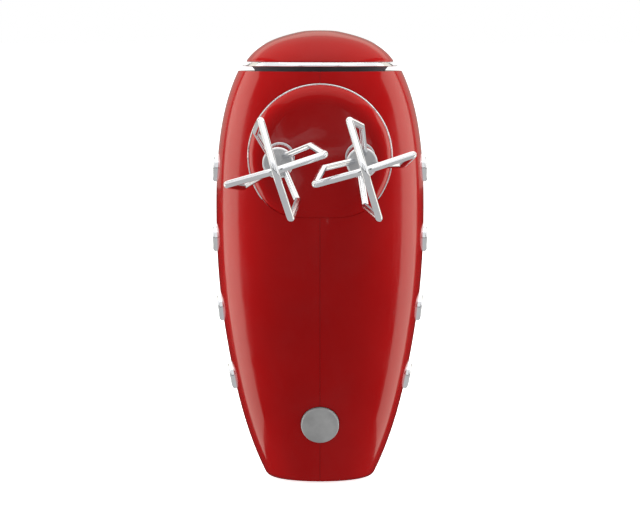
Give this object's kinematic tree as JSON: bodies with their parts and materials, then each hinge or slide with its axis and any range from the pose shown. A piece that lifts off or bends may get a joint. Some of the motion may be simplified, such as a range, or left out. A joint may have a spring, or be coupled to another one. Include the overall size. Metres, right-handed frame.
{
  "type": "hand mixer",
  "caption": "Upright-standing electric hand mixer with a rounded hull, loop handle, worm gearbox, ejector and two pull-out wire beaters.",
  "frame": {"origin": "centre of the heel's resting face, on the hull's axis", "axes": "+Z along the hull from heel to nose, -Y towards the beaters, +Y towards the handle, X across the body"},
  "size_m": [0.0972, 0.2993, 0.2021],
  "materials": {
    "red_enamel": "high-gloss red lacquer",
    "chrome_trim": "polished",
    "dark_plastic": "satin",
    "rubber_grey": "matte",
    "rubber_dark": "matte",
    "screw_steel": "zinc plated",
    "collar_grey": "satin",
    "gear_plastic": "moulded nylon",
    "steel": "ground",
    "bronze": "sintered",
    "frame_plastic": "glass-filled",
    "lamination": "laminated",
    "copper": "enamelled wire",
    "brass_holder": "stamped",
    "carbon": "pressed carbon",
    "spring_steel": "drawn wire",
    "panel_silver": "satin",
    "button_chrome": "polished",
    "button_dark": "satin",
    "display_glass": "smoked",
    "circuit_board": "solder mask",
    "component_black": "moulded",
    "terminal_grey": "moulded",
    "beater_chrome": "polished",
    "hub_grey": "satin"
  },
  "bodies": {
    "root": {"bearing_bracket": "frame_plastic", "bowl_rest_pad": "rubber_grey", "brush_holders": "brass_holder", "brush_springs": "spring_steel", "carbon_brushes": "carbon", "case_screws": "screw_steel", "control_board": "circuit_board", "control_panel": "panel_silver", "cord_inlet": "dark_plastic", "cover_screws": "screw_steel", "display_module": "component_black", "display_window": "display_glass", "eject_spring": "spring_steel", "field_coils": "copper", "filter_capacitor": "component_black", "gearbox_cover": "frame_plastic", "gearbox_frame": "frame_plastic", "gearbox_screws": "screw_steel", "heel_pad": "rubber_dark", "housing_left": "red_enamel", "housing_right": "red_enamel", "motor_bolts": "screw_steel", "motor_bushes": "bronze", "neck_vent_ring": "dark_plastic", "nose_cap": "red_enamel", "nose_trim_ring": "chrome_trim", "power_board": "circuit_board", "side_studs": "chrome_trim", "socket_collars": "collar_grey", "spindle_bushes": "bronze", "stator_core": "lamination", "tact_switches": "component_black", "terminal_block": "terminal_grey", "turret_cover": "red_enamel", "turret_trim_ring": "chrome_trim"},
    "motor": {"worm_shaft": "steel", "armature_core": "lamination", "armature_windings": "copper", "commutator": "copper", "cooling_fan": "frame_plastic"},
    "ejector": {"eject_button": "button_chrome", "eject_fork": "frame_plastic"},
    "turbo_key": {"turbo_button": "button_dark"},
    "plus_key": {"plus_button": "button_dark"},
    "minus_key": {"minus_button": "button_dark"},
    "power_key": {"power_button": "button_chrome"},
    "spindle_left": {"spindle_left": "steel", "worm_wheel_left": "gear_plastic"},
    "pusher_left": {"ejector_pusher_left": "steel"},
    "beater_left": {"beater_left_shaft": "beater_chrome", "beater_left_hub": "hub_grey", "beater_left_loop_a": "beater_chrome", "beater_left_loop_b": "beater_chrome"},
    "spindle_right": {"spindle_right": "steel", "worm_wheel_right": "gear_plastic"},
    "pusher_right": {"ejector_pusher_right": "steel"},
    "beater_right": {"beater_right_shaft": "beater_chrome", "beater_right_hub": "hub_grey", "beater_right_loop_a": "beater_chrome", "beater_right_loop_b": "beater_chrome"}
  },
  "joints": [
    {"name": "motor_spin", "type": "hinge", "parent": "root", "child": "motor", "pos_m": [0, 0, 0.1], "axis": [0, 0, 1], "continuous": true},
    {"name": "spindle_left_spin", "type": "hinge", "parent": "root", "child": "spindle_left", "pos_m": [-0.0175, 0, 0.147], "axis": [0, 1, 0], "continuous": true},
    {"name": "spindle_right_spin", "type": "hinge", "parent": "root", "child": "spindle_right", "pos_m": [0.0175, 0, 0.147], "axis": [0, 1, 0], "continuous": true},
    {"name": "eject_press", "type": "slide", "parent": "root", "child": "ejector", "axis": [0, -1, 0], "range_m": [0, 0.007], "stiffness_N_per_m": 400, "springref_m": -0.002, "deforming": ["eject_spring"]},
    {"name": "pusher_left_slide", "type": "slide", "parent": "spindle_left", "child": "pusher_left", "axis": [0, -1, 0], "range_m": [0, 0.007]},
    {"name": "beater_left_pull", "type": "slide", "parent": "pusher_left", "child": "beater_left", "axis": [0, -1, 0], "range_m": [0, 0.036]},
    {"name": "pusher_right_slide", "type": "slide", "parent": "spindle_right", "child": "pusher_right", "axis": [0, -1, 0], "range_m": [0, 0.007]},
    {"name": "beater_right_pull", "type": "slide", "parent": "pusher_right", "child": "beater_right", "axis": [0, -1, 0], "range_m": [0, 0.036]},
    {"name": "turbo_press", "type": "slide", "parent": "root", "child": "turbo_key", "axis": [0, -1, 0], "range_m": [0, 0.001], "stiffness_N_per_m": 900, "springref_m": -0.0006},
    {"name": "plus_press", "type": "slide", "parent": "root", "child": "plus_key", "axis": [0, -1, 0], "range_m": [0, 0.001], "stiffness_N_per_m": 900, "springref_m": -0.0006},
    {"name": "minus_press", "type": "slide", "parent": "root", "child": "minus_key", "axis": [0, -1, 0], "range_m": [0, 0.001], "stiffness_N_per_m": 900, "springref_m": -0.0006},
    {"name": "power_press", "type": "slide", "parent": "root", "child": "power_key", "axis": [0, -1, 0], "range_m": [0, 0.001], "stiffness_N_per_m": 900, "springref_m": -0.0006}
  ],
  "couplings": [
    {"joint": "spindle_left_spin", "follows": "motor_spin", "ratio": 0.076923},
    {"joint": "spindle_right_spin", "follows": "motor_spin", "ratio": -0.076923},
    {"joint": "pusher_left_slide", "follows": "eject_press", "ratio": 1},
    {"joint": "pusher_right_slide", "follows": "eject_press", "ratio": 1}
  ]
}
